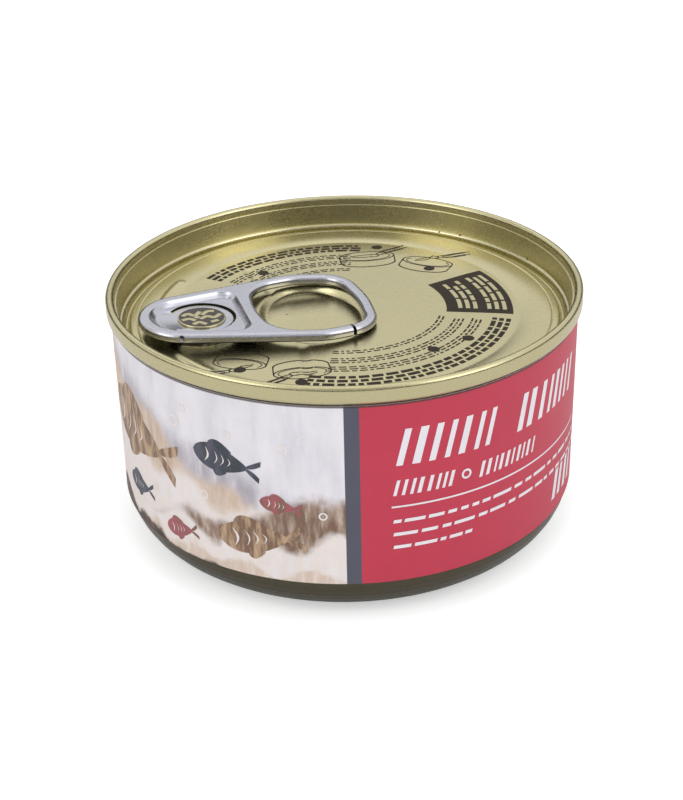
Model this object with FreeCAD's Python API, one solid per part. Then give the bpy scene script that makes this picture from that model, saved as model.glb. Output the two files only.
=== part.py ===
import FreeCAD, Part
import math
import os

Vec = FreeCAD.Vector
up = Vec(0, 0, 1)

# A shut pet food can: drawn metal body, paper sleeve, and an easy-open end with a ring-pull tab.
# Millimetres. The origin is the middle of the base, +Z goes up and the front of the sleeve is -Y.

# ---- body ----
can_height = 36.6            # base to the top of the double seam
body_radius = 33.4           # outside of the straight wall
corner_radius = 7.0          # rounded bottom corner of the drawn wall
foot_radius = 25.6           # middle of the ring the can stands on
foot_width = 1.2             # flat of that ring
foot_drop = 0.35             # how far the ring stands below the corner's lowest point
base_rise = 1.5              # recessed base panel above the table
base_bead_radius = 17.0      # raised ring in the base panel
base_bead_width = 3.0
base_bead_depth = 0.5
base_bead_foot_round = 0.6
base_bead_top_round = 0.5
base_slope = 0.75            # run of the slope from the foot up to the base panel
base_round = 0.7
foot_round = 0.4
foot_step = 0.7              # run from the foot up to the wall's corner
foot_step_round = 0.3

# ---- paper sleeve ----
paper = 0.15                 # thickness
sleeve_bottom = 6.8          # lower edge above the table
sleeve_gap = 0.3             # bare strip between the seam and the upper edge
lap_angle = 14.0             # glued overlap at the back, in degrees

# ---- easy-open end ----
sheet = 0.3                  # metal thickness of the end
seam_overhang = 0.75         # seam proud of the wall
seam_width = 1.15            # radial thickness of the seam
seam_height = 2.55
seam_flat = 0.05             # flat left between the roundings of the seam's top
seam_hook_round = 0.3        # lower edge of the seam
seam_tuck = 1.2              # depth below the rim at which the wall ends inside the seam
chuck_depth = 4.2            # rim down to the ledge of the chuck wall
chuck_lean = 0.5             # the chuck wall leans in by this much
ledge_width = 0.35
ledge_drop = 0.2
ledge_inner_round = 0.2
ledge_outer_round = 0.25
sink_width = 1.1             # countersink groove
sink_depth = 5.45            # rim down to the bottom of the groove
sink_lean = 0.05             # lean of its walls
sink_flat = 0.04             # flat left between its bottom roundings
panel_depth = 4.75           # rim down to the panel
panel_round = 0.35
score_inset = 1.15           # score line, in from the edge of the panel
score_width = 0.24
score_depth = 0.12

# ---- relief of the panel, pressed down or up ----
dish_inset = 4.35            # outer edge of the C-shaped dish, in from the score line
dish_width = 5.2
dish_heel = 0.4              # run of its steep inner side
dish_depth = 0.35
dish_half_angle = 119.5      # half of the C, which opens towards the rivet
well_half_length = 8.0       # finger well under the ring, along the tab
well_half_width = 10.4       # and across it
well_slope = 1.3
well_depth = 0.95
well_round = 0.5
well_shift = 1.05            # middle of the well past the middle of the finger hole
crease_radius = 2.2          # round of the two creases from the C to the well
crease_depth = 0.18
crease_end_along = 0.5       # where a crease meets the well, as shares of its half sizes
crease_end_across = 0.8
nose_bead_inset = 3.2        # two raised arcs beside the nose, in from the score line
nose_bead_half = 0.8         # half width
nose_bead_height = 0.28
nose_bead_turn = -3.9        # middle between the two, in degrees from the tab's line
nose_bead_start = 20.0       # degrees from there to the nearer end
nose_bead_span = 14.3

# ---- ring-pull tab, in its own frame: x along the tab from the rivet, nose at -x ----
tab_turn = 15.5              # the tab's line, in degrees from +X
tab_tilt = 2.1               # the nose stands higher than the ring
ring_lift = 0.09             # underside of the ring's far end above the panel
tab_length = 33.85
tab_thickness = 1.4
tab_sheet = 0.4              # single metal thickness in the pan and the tongue
nose_overhang = 0.1          # nose past the score line
nose_radius = 7.2
rivet_from_nose = 9.0
hem_flat = 0.24              # flat left between the roundings of a rolled edge
shoulder_x = 15.4            # where the ring is widest
shoulder_half = 10.95
shoulder_round = 10.0
end_half = 9.5               # half width towards the far end of the ring
end_round = 5.9
end_bow = 1.05               # how far the far end bows out
end_bow_round = 25.0
ring_bar = 1.75              # width of the ring's bars
web_width = 1.4              # from the pan to the finger hole
hole_bow = 1.4
hole_round = 5.5
pan_rim = 1.5                # width of the rim round the pan
pan_slope = 1.0
pan_depth = 0.65
pan_end_room = 0.3           # floor left between the slot and the pan's end
pan_end_round = 2.4
slot_width = 0.45            # C-shaped slot round the tongue
tongue_radius = 4.45
tongue_drop = 0.25           # tongue below the floor of the pan
tongue_root_angle = 72.0
tongue_lap = 0.225           # how far its ramp runs into the pan
hem_gap = 0.5                # butt joint where the hem's ends meet
hem_gap_depth = 1.15
hem_gap_angle = -52.0

# ---- rivet, drawn up from the panel ----
rivet_head_radius = 3.4
rivet_head_height = 0.34
rivet_shank_radius = 2.2
rivet_clearance = 0.1        # shank to the hole in the tongue
boss_top_radius = 4.3
boss_base_radius = 5.6
head_round = 0.12

# ---- worked out from the above ----
seam_radius = body_radius + seam_overhang
chuck_radius = seam_radius - seam_width
ledge_radius = chuck_radius - chuck_lean
sink_outer = ledge_radius - ledge_width
panel_radius = sink_outer - sink_width
score_radius = panel_radius - score_inset
panel_z = can_height - panel_depth
dish_outer = score_radius - dish_inset
dish_inner = dish_outer - dish_width
sink_round = (sink_width - 2 * sink_lean - sink_flat) / 2
seam_round = (seam_width - seam_flat) / 2
hem_round = (tab_thickness - hem_flat) / 2
rivet_x = rivet_from_nose - score_radius - nose_overhang
nose_x = -rivet_from_nose
nose_middle = nose_x + nose_radius
end_x = nose_x + tab_length
tab_top = tab_thickness / 2
tab_z = panel_z + ring_lift + tab_top + end_x * math.sin(math.radians(tab_tilt))
pan_end_x = tongue_radius + slot_width + pan_end_room + pan_slope
hole_x = pan_end_x + web_width
hole_middle = (hole_x + end_x - ring_bar) / 2
well_middle = rivet_x + hole_middle + well_shift
pan_floor = tab_top - pan_depth
tongue_top = pan_floor - tongue_drop
tongue_under = tongue_top - tab_sheet
lot = 60.0                   # larger than any cross-section, for cutting solids
tiny = 0.01                  # smaller than any feature


def rounded_path(corners, lift, closed):
    """Edges along corners (x, y, radius), with tangent arcs of those radii."""
    count = len(corners)
    starts, ends, middles = [], [], []
    for i, (x, y, radius) in enumerate(corners):
        here = Vec(x, y, 0)
        inner = closed or 0 < i < count - 1
        if radius <= 0 or not inner:
            starts.append(here)
            ends.append(here)
            middles.append(None)
            continue
        before = Vec(*corners[i - 1][:2], 0) - here
        after = Vec(*corners[(i + 1) % count][:2], 0) - here
        before.normalize()
        after.normalize()
        half = before.getAngle(after) / 2
        reach = radius / math.tan(half)
        bisector = (before + after).normalize()
        starts.append(here + before * reach)
        ends.append(here + after * reach)
        middles.append(here + bisector * (radius / math.sin(half) - radius))
    edges = []
    for i in range(count):
        if middles[i] is not None:
            arc = Part.Arc(lift(starts[i]), lift(middles[i]), lift(ends[i]))
            edges.append(arc.toShape())
        if i == count - 1 and not closed:
            break
        following = starts[(i + 1) % count]
        if (following - ends[i]).Length > tiny:
            edges.append(Part.LineSegment(lift(ends[i]), lift(following)).toShape())
    return edges


def upright(v):
    return Vec(v.x, 0, v.y)


def level(height):
    return lambda v: Vec(v.x, v.y, height)


def turned(corners, sweep=360.0):
    """Solid of revolution about Z from closed corners (radius, z, rounding)."""
    face = Part.Face(Part.Wire(rounded_path(corners, upright, True)))
    return face.revolve(Vec(0, 0, 0), up, sweep)


def flat_wire(corners, height):
    return Part.Wire(rounded_path(corners, level(height), True))


def plate(corners, bottom, top):
    return Part.Face(flat_wire(corners, bottom)).extrude(Vec(0, 0, top - bottom))


def tapered(low_corners, bottom, high_corners, top):
    return Part.makeLoft([flat_wire(low_corners, bottom), flat_wire(high_corners, top)], True, True)


def mirrored(half):
    """Closed outline from its corners with y >= 0, given from -x to +x."""
    return [(x, -y, r) for x, y, r in half] + [(x, y, r) for x, y, r in reversed(half) if y > tiny]


def offset_corners(corners, distance, closed):
    """Corners moved to the left of the way they run; roundings follow."""
    count = len(corners)
    moved = []
    for i, (x, y, radius) in enumerate(corners):
        here = Vec(x, y, 0)
        before = here - Vec(*corners[i - 1][:2], 0)
        after = Vec(*corners[(i + 1) % count][:2], 0) - here
        if not closed and i == 0:
            before = after
        if not closed and i == count - 1:
            after = before
        before.normalize()
        after.normalize()
        bisector = Vec(-before.y - after.y, before.x + after.x, 0).normalize()
        shift = bisector * (distance / bisector.dot(Vec(-before.y, before.x, 0)))
        left_turn = before.cross(after).z > 0
        new_radius = radius - distance if left_turn else radius + distance
        new_radius = max(new_radius, tiny) if radius > 0 else 0
        moved.append((x + shift.x, y + shift.y, new_radius))
    return moved


def edges_at(shape, height):
    """Edges that lie flat at one height."""
    def is_flat(box):
        return box.ZLength < tiny and abs(box.Center.z - height) < tiny
    return [e for e in shape.Edges if is_flat(e.BoundBox)]


def tab_placement():
    """The tab's frame: rivet centre, tab's line and tilt."""
    turn = FreeCAD.Rotation(up, tab_turn)
    tilt = FreeCAD.Rotation(Vec(0, 1, 0), tab_tilt)
    middle = turn.multVec(Vec(rivet_x, 0, tab_z))
    return FreeCAD.Placement(middle, turn.multiply(tilt))


def along_tab(shape):
    """Turn a shape of the panel from the +X line to the tab's line."""
    shape = shape.copy()
    shape.rotate(Vec(0, 0, 0), up, tab_turn)
    return shape


# ---- profiles of the end: its upper side, and its underside one sheet away ----

def end_upper():
    return [
        (0, -panel_depth, 0),
        (panel_radius, -panel_depth, panel_round),
        (panel_radius + sink_lean, -sink_depth, sink_round),
        (sink_outer - sink_lean, -sink_depth, sink_round),
        (sink_outer, -chuck_depth - ledge_drop, ledge_inner_round),
        (ledge_radius, -chuck_depth, ledge_outer_round),
        (chuck_radius, 0, seam_round),
    ]


def end_under():
    moved = offset_corners(end_upper(), -sheet, False)
    (r0, z0, _), (r1, z1, _) = moved[-2:]
    r_tuck = r0 + (r1 - r0) * (-seam_tuck - z0) / (z1 - z0)
    return moved[:-1] + [(r_tuck, -seam_tuck, 0)]


def at_rim(corners):
    return [(r, can_height + z, rounding) for r, z, rounding in corners]


def make_end_blank():
    """The plain end: panel, countersink, chuck wall and double seam."""
    seam = [
        (seam_radius, 0, seam_round),
        (seam_radius, -seam_height, seam_hook_round),
        (body_radius, -seam_height, 0),
        (body_radius, -seam_tuck, 0),
    ]
    corners = end_upper() + seam + list(reversed(end_under()))
    return turned(at_rim(corners))


def make_body_blank():
    """The drawn wall and base, filled up to the underside of the end."""
    bead_in = base_bead_radius - base_bead_width / 2
    bead_out = base_bead_radius + base_bead_width / 2
    foot_in = foot_radius - foot_width / 2
    foot_out = foot_radius + foot_width / 2
    base = [
        (0, base_rise, 0),
        (bead_in, base_rise, base_bead_foot_round),
        (bead_in + base_bead_depth, base_rise + base_bead_depth, base_bead_top_round),
        (bead_out - base_bead_depth, base_rise + base_bead_depth, base_bead_top_round),
        (bead_out, base_rise, base_bead_foot_round),
        (foot_in - base_slope, base_rise, base_round),
        (foot_in, 0, foot_round),
        (foot_out, 0, foot_round),
        (foot_out + foot_step, foot_drop, foot_step_round),
        (body_radius, foot_drop, corner_radius),
        (body_radius, can_height - seam_tuck, 0),
    ]
    return turned(base + list(reversed(at_rim(end_under()))))


# ---- relief of the panel; every form is made with its edge at the panel's upper side ----

def dish_form():
    """C-shaped dish: a gentle slope in from outside, steep at the inner side, with faded ends."""
    heel = dish_inner + dish_heel
    section = [
        (dish_outer, panel_z, 0),
        (heel, panel_z - dish_depth, 0),
        (dish_inner, panel_z, 0),
    ]
    sweep = 2 * dish_half_angle
    form = turned(section, sweep)
    form.rotate(Vec(0, 0, 0), up, -dish_half_angle)
    inside = Part.makeCylinder(dish_inner, lot, Vec(0, 0, 0))
    for side in (-1, 1):
        angle = math.radians(side * dish_half_angle)
        foot = Vec(heel * math.cos(angle), heel * math.sin(angle), panel_z - dish_depth)
        fade = Part.makeCone(0, dish_outer - heel, dish_depth, foot)
        form = form.fuse(fade.cut(inside))
    return along_tab(form)


def oval(half_x, half_y, centre, height):
    major = max(half_x, half_y)
    minor = min(half_x, half_y)
    middle = Vec(centre, 0, height)
    curve = Part.Ellipse(middle, major, minor)
    wire = Part.Wire(curve.toShape())
    if half_y > half_x:
        wire.rotate(middle, up, 90)
    return wire


def well_form():
    """Finger well, an oval dish with sloping sides."""
    bottom = panel_z - well_depth
    top = oval(well_half_length, well_half_width, well_middle, panel_z)
    floor = oval(well_half_length - well_slope, well_half_width - well_slope, well_middle, bottom)
    form = Part.makeLoft([floor, top], True, True)
    return along_tab(form.makeFillet(well_round, edges_at(form, bottom)))


def arched(middle, half, rise):
    """Face between a chord at the panel's upper side and an arc, in the XZ plane."""
    low = Vec(middle - half, 0, panel_z)
    high = Vec(middle + half, 0, panel_z)
    arc = Part.Arc(low, Vec(middle, 0, panel_z + rise), high).toShape()
    return Part.Face(Part.Wire([arc, Part.LineSegment(high, low).toShape()]))


def crease_form(side):
    """A shallow round crease from the end of the C to the well."""
    angle = math.radians(side * dish_half_angle)
    start_r = dish_inner + dish_heel
    start = Vec(start_r * math.cos(angle), start_r * math.sin(angle), 0)
    across = side * well_half_width * crease_end_across
    run = Vec(well_middle - well_half_length * crease_end_along, across, 0) - start
    half = math.sqrt(2 * crease_radius * crease_depth - crease_depth ** 2)
    form = arched(0, half, -crease_depth).extrude(Vec(0, run.Length, 0))
    form.rotate(Vec(0, 0, 0), up, math.degrees(math.atan2(run.y, run.x)) - 90)
    form.translate(start)
    return along_tab(form)


def nose_bead_form(side):
    """A raised arc beside the nose, with round ends."""
    path_radius = score_radius - nose_bead_inset
    start = 180 + nose_bead_turn - side * nose_bead_start
    sweep = -side * nose_bead_span
    form = arched(path_radius, nose_bead_half, nose_bead_height).revolve(Vec(0, 0, 0), up, sweep)
    form.rotate(Vec(0, 0, 0), up, start)
    half_space = Part.makeBox(lot, 2 * lot, lot, Vec(0, -lot, 0))
    half_section = arched(0, nose_bead_half, nose_bead_height).common(half_space)
    dome = half_section.revolve(Vec(0, 0, 0), up, 360)
    for angle in (math.radians(start), math.radians(start + sweep)):
        end = dome.copy()
        end.translate(Vec(path_radius * math.cos(angle), path_radius * math.sin(angle), 0))
        form = form.fuse(end)
    return along_tab(form)


def lowered(form):
    form = form.copy()
    form.translate(Vec(0, 0, -sheet))
    return form


def press_down(end, body, form):
    backing = lowered(form)
    return end.fuse(backing).cut(form), body.cut(backing)


def press_up(end, body, form):
    core = lowered(form)
    return end.fuse(form).cut(core), body.fuse(core)


def score_groove():
    """V groove that the tab's nose breaks."""
    half = score_width / 2
    section = [
        (score_radius - half, panel_z, 0),
        (score_radius, panel_z - score_depth, 0),
        (score_radius + half, panel_z, 0),
    ]
    return turned(section)


def make_rivet():
    """Boss under the tongue, shank and flat head, all one with the panel."""
    boss_height = tab_z - panel_z + tongue_under + sheet
    boss_foot = Vec(0, 0, tongue_under - boss_height)
    boss = Part.makeCone(boss_base_radius, boss_top_radius, boss_height, boss_foot)
    shank = Part.makeCylinder(rivet_shank_radius, tab_sheet, Vec(0, 0, tongue_under))
    head = Part.makeCylinder(rivet_head_radius, rivet_head_height, Vec(0, 0, tongue_top))
    upper = [e for e in head.Edges if e.BoundBox.ZMin > tongue_top + rivet_head_height / 2]
    head = head.makeFillet(head_round, upper)
    rivet = boss.fuse(shank).fuse(head)
    rivet.Placement = tab_placement()
    above_sheet = Part.makeCylinder(lot, lot, Vec(0, 0, panel_z - sheet))
    return rivet.common(above_sheet)


def make_end_and_body():
    end = make_end_blank()
    body = make_body_blank()
    hollows = dish_form().fuse([well_form(), crease_form(-1), crease_form(1)])
    end, body = press_down(end, body, hollows)
    for side in (-1, 1):
        end, body = press_up(end, body, nose_bead_form(side))
    end = end.cut(score_groove()).fuse(make_rivet())
    return end.removeSplitter(), body.removeSplitter()


# ---- paper sleeve ----

def make_sleeve():
    """Sleeve of one paper thickness, doubled where its ends are glued at the back."""
    top = can_height - seam_height - sleeve_gap
    wrap = turned([
        (body_radius, sleeve_bottom, 0),
        (body_radius + paper, sleeve_bottom, 0),
        (body_radius + paper, top, 0),
        (body_radius, top, 0),
    ])
    lap = turned([
        (body_radius + paper, sleeve_bottom, 0),
        (body_radius + 2 * paper, sleeve_bottom, 0),
        (body_radius + 2 * paper, top, 0),
        (body_radius + paper, top, 0),
    ], lap_angle)
    lap.rotate(Vec(0, 0, 0), up, 90 - lap_angle / 2)
    return wrap.fuse(lap).removeSplitter()


# ---- ring-pull tab ----

def taper_angle():
    """Lean of the long sides, tangent to the nose and through the ring's shoulder."""
    run = shoulder_x - nose_middle
    return math.acos(nose_radius / math.hypot(run, shoulder_half)) - math.atan2(run, shoulder_half)


def side_y(x, inset):
    """Half width on the long straight side, moved in by inset."""
    lean = taper_angle()
    return (nose_radius - inset) / math.cos(lean) + (x - nose_middle) * math.tan(lean)


def tab_outline():
    return mirrored([
        (nose_x, side_y(nose_x, 0), nose_radius),
        (shoulder_x, shoulder_half, shoulder_round),
        (end_x - end_bow, end_half, end_round),
        (end_x, 0, end_bow_round),
    ])


def hole_outline():
    start = hole_x - ring_bar
    ring = mirrored([
        (start, 0, end_bow_round),
        (start + hole_bow, side_y(start + hole_bow, 0), hole_round + ring_bar),
        (shoulder_x, shoulder_half, shoulder_round),
        (end_x - end_bow, end_half, end_round),
        (end_x, 0, end_bow_round),
    ])
    return offset_corners(ring, ring_bar, True)


def pan_outline(inset):
    end = pan_end_x - (inset - pan_rim)
    return mirrored([
        (nose_x + inset, side_y(nose_x + inset, inset), nose_radius - inset),
        (end, side_y(end, inset), pan_end_round - (inset - pan_rim)),
    ])


def make_tongue():
    """Round tongue held by the rivet, with a short ramp up to the pan at its root."""
    disc = Part.makeCylinder(tongue_radius, tab_sheet, Vec(0, 0, tongue_under))
    inner = tongue_radius - slot_width
    outer = tongue_radius + slot_width + tongue_lap
    ramp = turned([
        (inner, tongue_under, 0),
        (outer, pan_floor - tab_sheet, 0),
        (outer, pan_floor, 0),
        (inner, tongue_top, 0),
    ], tongue_root_angle)
    ramp.rotate(Vec(0, 0, 0), up, 180 - tongue_root_angle / 2)
    hole = Part.makeCylinder(rivet_shank_radius + rivet_clearance, lot, Vec(0, 0, -lot / 2))
    return disc.fuse(ramp).cut(hole)


def make_tab():
    """Rolled-edge tab: nose, sunk pan with its tongue, web and finger ring."""
    tab = plate(tab_outline(), -tab_top, tab_top)
    tab = tab.cut(plate(hole_outline(), -lot, lot))
    tab = tab.makeFillet(hem_round, edges_at(tab, tab_top) + edges_at(tab, -tab_top))
    pan = tapered(pan_outline(pan_rim + pan_slope), pan_floor, pan_outline(pan_rim), tab_top)
    pocket = plate(pan_outline(pan_rim), -lot, pan_floor - tab_sheet)
    slot = Part.makeCylinder(tongue_radius + slot_width, lot, Vec(0, 0, -lot / 2))
    tab = tab.cut(pan).cut(pocket).cut(slot).fuse(make_tongue())
    butt = Part.makeBox(2 * hem_gap_depth, hem_gap, lot, Vec(-hem_gap_depth, -hem_gap / 2, -lot / 2))
    corner = Vec(end_x - end_bow - end_round, -end_half + end_round, 0)
    butt.rotate(Vec(0, 0, 0), up, hem_gap_angle)
    reach = FreeCAD.Rotation(up, hem_gap_angle).multVec(Vec(end_round, 0, 0))
    butt.translate(corner + reach)
    tab = tab.cut(butt).removeSplitter()
    tab.Placement = tab_placement()
    return tab


end, body = make_end_and_body()
nodes = {
    "can_body": body,
    "lid": end,
    "pull_tab": make_tab(),
    "label": make_sleeve(),
}

os.makedirs("parts", exist_ok=True)
for name, shape in nodes.items():
    if len(shape.Solids) == 1:
        shape = shape.Solids[0]
    print(name, "solids", len(shape.Solids), "volume", round(shape.Volume, 1), "valid", shape.isValid())
    shape.exportStep(f"parts/{name}.step")
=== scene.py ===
import math
import random
import bmesh
import bpy
from mathutils import Matrix, Vector, noise
from mathutils.bvhtree import BVHTree


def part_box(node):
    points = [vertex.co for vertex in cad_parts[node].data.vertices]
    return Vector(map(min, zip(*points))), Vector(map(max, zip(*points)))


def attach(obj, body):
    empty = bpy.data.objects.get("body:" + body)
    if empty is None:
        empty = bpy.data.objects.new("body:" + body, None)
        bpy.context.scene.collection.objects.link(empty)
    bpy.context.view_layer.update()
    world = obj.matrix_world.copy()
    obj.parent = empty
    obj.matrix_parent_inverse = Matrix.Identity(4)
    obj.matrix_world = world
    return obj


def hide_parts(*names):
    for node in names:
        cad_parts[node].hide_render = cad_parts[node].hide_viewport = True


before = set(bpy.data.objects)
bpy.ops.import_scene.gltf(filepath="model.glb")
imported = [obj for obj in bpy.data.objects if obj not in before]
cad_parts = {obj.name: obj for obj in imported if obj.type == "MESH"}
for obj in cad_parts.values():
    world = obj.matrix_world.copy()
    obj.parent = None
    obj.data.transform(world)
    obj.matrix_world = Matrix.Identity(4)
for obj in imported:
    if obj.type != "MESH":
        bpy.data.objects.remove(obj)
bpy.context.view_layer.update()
print("frame loaded")

# Shapes are worked out in millimetres and written to the meshes in metres.
mm = 0.001
tiny = 0.001

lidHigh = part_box("lid")[1]
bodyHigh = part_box("can_body")[1]
labelLow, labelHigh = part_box("label")
rimZ = lidHigh[2] / mm
seamRadius = lidHigh[0] / mm
bodyRadius = bodyHigh[0] / mm
sleeveBottom = labelLow[2] / mm
sleeveTop = labelHigh[2] / mm


def clamped(value):
    return min(max(value, 0.0), 1.0)


def smooth(low, high, value):
    t = clamped((value - low) / (high - low))
    return t * t * (3 - 2 * t)


def polar(radius, angle):
    return radius * math.cos(angle), radius * math.sin(angle)


def inMetres(spot):
    return tuple(v * mm for v in spot)


def roundedPath(corners, closed, arcSteps=6):
    # points along corners (x, y, radius), the roundings as arcs
    points = []
    count = len(corners)
    for i, (x, y, radius) in enumerate(corners):
        here = Vector((x, y))
        if radius <= 0 or (not closed and i in (0, count - 1)):
            points.append(here)
            continue
        before = (Vector(corners[i - 1][:2]) - here).normalized()
        after = (Vector(corners[(i + 1) % count][:2]) - here).normalized()
        half = before.angle(after) / 2
        middle = here + (before + after).normalized() * (radius / math.sin(half))
        start = here + before * (radius / math.tan(half)) - middle
        finish = here + after * (radius / math.tan(half)) - middle
        sweep = start.angle_signed(finish)
        for k in range(arcSteps + 1):
            turn = Matrix.Rotation(-sweep * k / arcSteps, 2)
            points.append(middle + turn @ start)
    return points


def firmRuns(points, reach=0.1):
    # extra points near the ends of long runs, so that smooth shading keeps them flat
    firm = [points[0]]
    for a, b in zip(points, points[1:]):
        run = (b - a).length
        if run > 4 * reach:
            firm += [a.lerp(b, reach / run), a.lerp(b, 1 - reach / run)]
        firm.append(b)
    return firm


def newObject(name, verts, faces, material, smoothed=True):
    mesh = bpy.data.meshes.new(name)
    mesh.from_pydata(verts, [], faces)
    if smoothed:
        mesh.shade_smooth()
    mesh.materials.append(material)
    thing = bpy.data.objects.new(name, mesh)
    bpy.context.collection.objects.link(thing)
    return thing


def addMesh(name, verts, faces, material):
    piece = newObject(name, [inMetres(v) for v in verts], faces, material)
    piece.data.validate()
    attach(piece, "root")
    return piece


def addPrint(name, verts, faces, material):
    # verts are already in metres
    piece = newObject(name, verts, faces, material)
    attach(piece, "root")
    return piece


def revolved(rings, segments, lift=None):
    # grid of rings (radius, z) about the axis; lift(x, y) may move a point up or down
    verts, faces, starts = [], [], []
    for radius, z in rings:
        starts.append(len(verts))
        for k in range(segments if radius > tiny else 1):
            x, y = polar(radius, 2 * math.pi * k / segments)
            verts.append((x, y, z + lift(x, y) if lift else z))
    for i in range(len(rings) - 1):
        a, b = starts[i], starts[i + 1]
        for k in range(segments):
            n = (k + 1) % segments
            if rings[i][0] <= tiny:
                faces.append((a, b + k, b + n))
            elif rings[i + 1][0] <= tiny:
                faces.append((a + k, b, a + n))
            else:
                faces.append((a + k, b + k, b + n, a + n))
    return verts, faces


# The easy-open end. Depths are below the rim.
end = dict(
    sheet=0.3, seamWidth=1.15, seamHeight=2.55, seamFlat=0.05, hookRound=0.7, tuck=1.2,
    chuckDepth=4.2, chuckLean=0.5, ledgeWidth=0.7, ledgeDrop=0.12, ledgeIn=0.58, ledgeOut=0.08,
    sinkWidth=0.75, sinkDepth=5.45, sinkLean=0.05, sinkRound=0.33,
    panelDepth=4.75, panelRound=0.35, scoreInset=1.15, scoreHalf=0.13, scoreDepth=0.12,
    scoreFlat=1, scoreNear=0.6, scoreSoft=0.05, scoreFloor=0.02, scoreOut=0.4,
    hookGap=0.02, hookIn=0.4, underIn=0.35, underOut=0.3,
    segments=420, ringStep=0.25, underStep=1.0,
)
end["chuckRadius"] = seamRadius - end["seamWidth"]
end["ledgeRadius"] = end["chuckRadius"] - end["chuckLean"]
end["sinkOuter"] = end["ledgeRadius"] - end["ledgeWidth"]
end["panelRadius"] = end["sinkOuter"] - end["sinkWidth"]
end["scoreRadius"] = end["panelRadius"] - end["scoreInset"]
end["panelZ"] = rimZ - end["panelDepth"]


def panelRings(step):
    score = end["scoreRadius"]
    rings = [k * step for k in range(int((score - end["scoreFlat"]) / step) + 1)]
    inner = score - end["scoreHalf"]
    rings += [score - end["scoreNear"], inner - end["scoreSoft"], inner]
    return rings


def buildLid(material):
    panelZ = end["panelZ"]
    score = end["scoreRadius"]
    seamRound = (end["seamWidth"] - end["seamFlat"]) / 2
    upper = [(r, panelZ) for r in panelRings(end["ringStep"])]
    floor, half = panelZ - end["scoreDepth"], end["scoreHalf"]
    upper += [(score - end["scoreFloor"], floor), (score + end["scoreFloor"], floor),
              (score + half, panelZ), (score + half + end["scoreSoft"], panelZ)]
    profile = [
        (score + end["scoreOut"], -end["panelDepth"], 0),
        (end["panelRadius"], -end["panelDepth"], end["panelRound"]),
        (end["panelRadius"] + end["sinkLean"], -end["sinkDepth"], end["sinkRound"]),
        (end["sinkOuter"] - end["sinkLean"], -end["sinkDepth"], end["sinkRound"]),
        (end["sinkOuter"], -end["chuckDepth"] - end["ledgeDrop"], end["ledgeIn"]),
        (end["ledgeRadius"], -end["chuckDepth"], end["ledgeOut"]),
        (end["chuckRadius"], 0, seamRound),
        (seamRadius, 0, seamRound),
        (seamRadius, -end["seamHeight"], end["hookRound"]),
        (bodyRadius + end["hookGap"], -end["seamHeight"], 0),
        (bodyRadius + end["hookGap"], -end["tuck"], 0),
        (end["chuckRadius"] - end["hookIn"], -end["tuck"], 0),
        (end["ledgeRadius"] - end["underIn"], -end["sinkDepth"] - end["sheet"], 0),
        (end["panelRadius"] - end["underOut"], -end["sinkDepth"] - end["sheet"], 0),
        (end["panelRadius"] - end["underIn"], -end["panelDepth"] - end["sheet"], 0),
    ]
    outside = [(p.x, rimZ + p.y) for p in firmRuns(roundedPath(profile, False, 7))]
    under = [(r, panelZ - end["sheet"]) for r in reversed(panelRings(end["underStep"]))]
    verts, faces = revolved(upper + outside + under, end["segments"], reliefHeight)
    lid = addMesh("canEnd", verts, faces, material)
    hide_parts("lid")
    return lid


# The pull tab, in its own frame: x along the tab from the rivet, the nose at -x.
tab = dict(
    turn=15.5, tilt=2.1, ringLift=0.09, length=33.85, thickness=1.4, hemFlat=0.24, sheet=0.4,
    noseOverhang=0.1, noseRadius=7.2, rivetFromNose=9.0,
    shoulderX=15.4, shoulderHalf=10.95, shoulderRound=10.0,
    endHalf=9.5, endRound=5.9, endBow=1.05, endBowRound=25.0,
    ringBar=1.75, webWidth=1.4, holeBow=1.4, holeRound=5.5,
    panRim=1.5, panSlope=1.0, panDepth=0.65, panEndRoom=0.3, panEndRound=2.4, panLip=0.22,
    slotWidth=0.45, tongueRadius=4.45, tongueDrop=0.25, tongueRoot=72.0,
    hemGap=0.42, hemGapDepth=0.9, hemGapX=19.7,
    dimpleX=-4.2, dimpleZ=0.2, dimpleDepth=0.42, dimpleFlat=0.12, dimpleRadius=0.42,
    headRadius=3.4, headHeight=0.26, headRound=0.12, shankRadius=2.2, shankLength=0.6,
    outerPoints=720, holePoints=240, panPoints=200, slotSteps=96, hemSteps=8, headSides=96,
    sharpAngle=50, skinLap=0.05,
)
tab["rivetX"] = tab["rivetFromNose"] - end["scoreRadius"] - tab["noseOverhang"]
tab["noseX"] = -tab["rivetFromNose"]
tab["noseMiddle"] = tab["noseX"] + tab["noseRadius"]
tab["endX"] = tab["noseX"] + tab["length"]
tab["top"] = tab["thickness"] / 2
tab["z"] = (end["panelZ"] + tab["ringLift"] + tab["top"]
            + tab["endX"] * math.sin(math.radians(tab["tilt"])))
tab["panFloor"] = tab["top"] - tab["panDepth"]
tab["tongueTop"] = tab["panFloor"] - tab["tongueDrop"]
tab["panEndX"] = tab["tongueRadius"] + tab["slotWidth"] + tab["panEndRoom"] + tab["panSlope"]
tab["holeX"] = tab["panEndX"] + tab["webWidth"]
tab["holeMiddle"] = (tab["holeX"] + tab["endX"] - tab["ringBar"]) / 2


def tabToWorld(x, y, z):
    # from the tab's own frame at the rivet to the can's frame
    tilt = math.radians(tab["tilt"])
    turn = math.radians(tab["turn"])
    along = x * math.cos(tilt) + z * math.sin(tilt) + tab["rivetX"]
    high = -x * math.sin(tilt) + z * math.cos(tilt) + tab["z"]
    return (along * math.cos(turn) - y * math.sin(turn),
            along * math.sin(turn) + y * math.cos(turn), high)


def taperAngle():
    run, half = tab["shoulderX"] - tab["noseMiddle"], tab["shoulderHalf"]
    return math.acos(tab["noseRadius"] / math.hypot(run, half)) - math.atan2(run, half)


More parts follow.
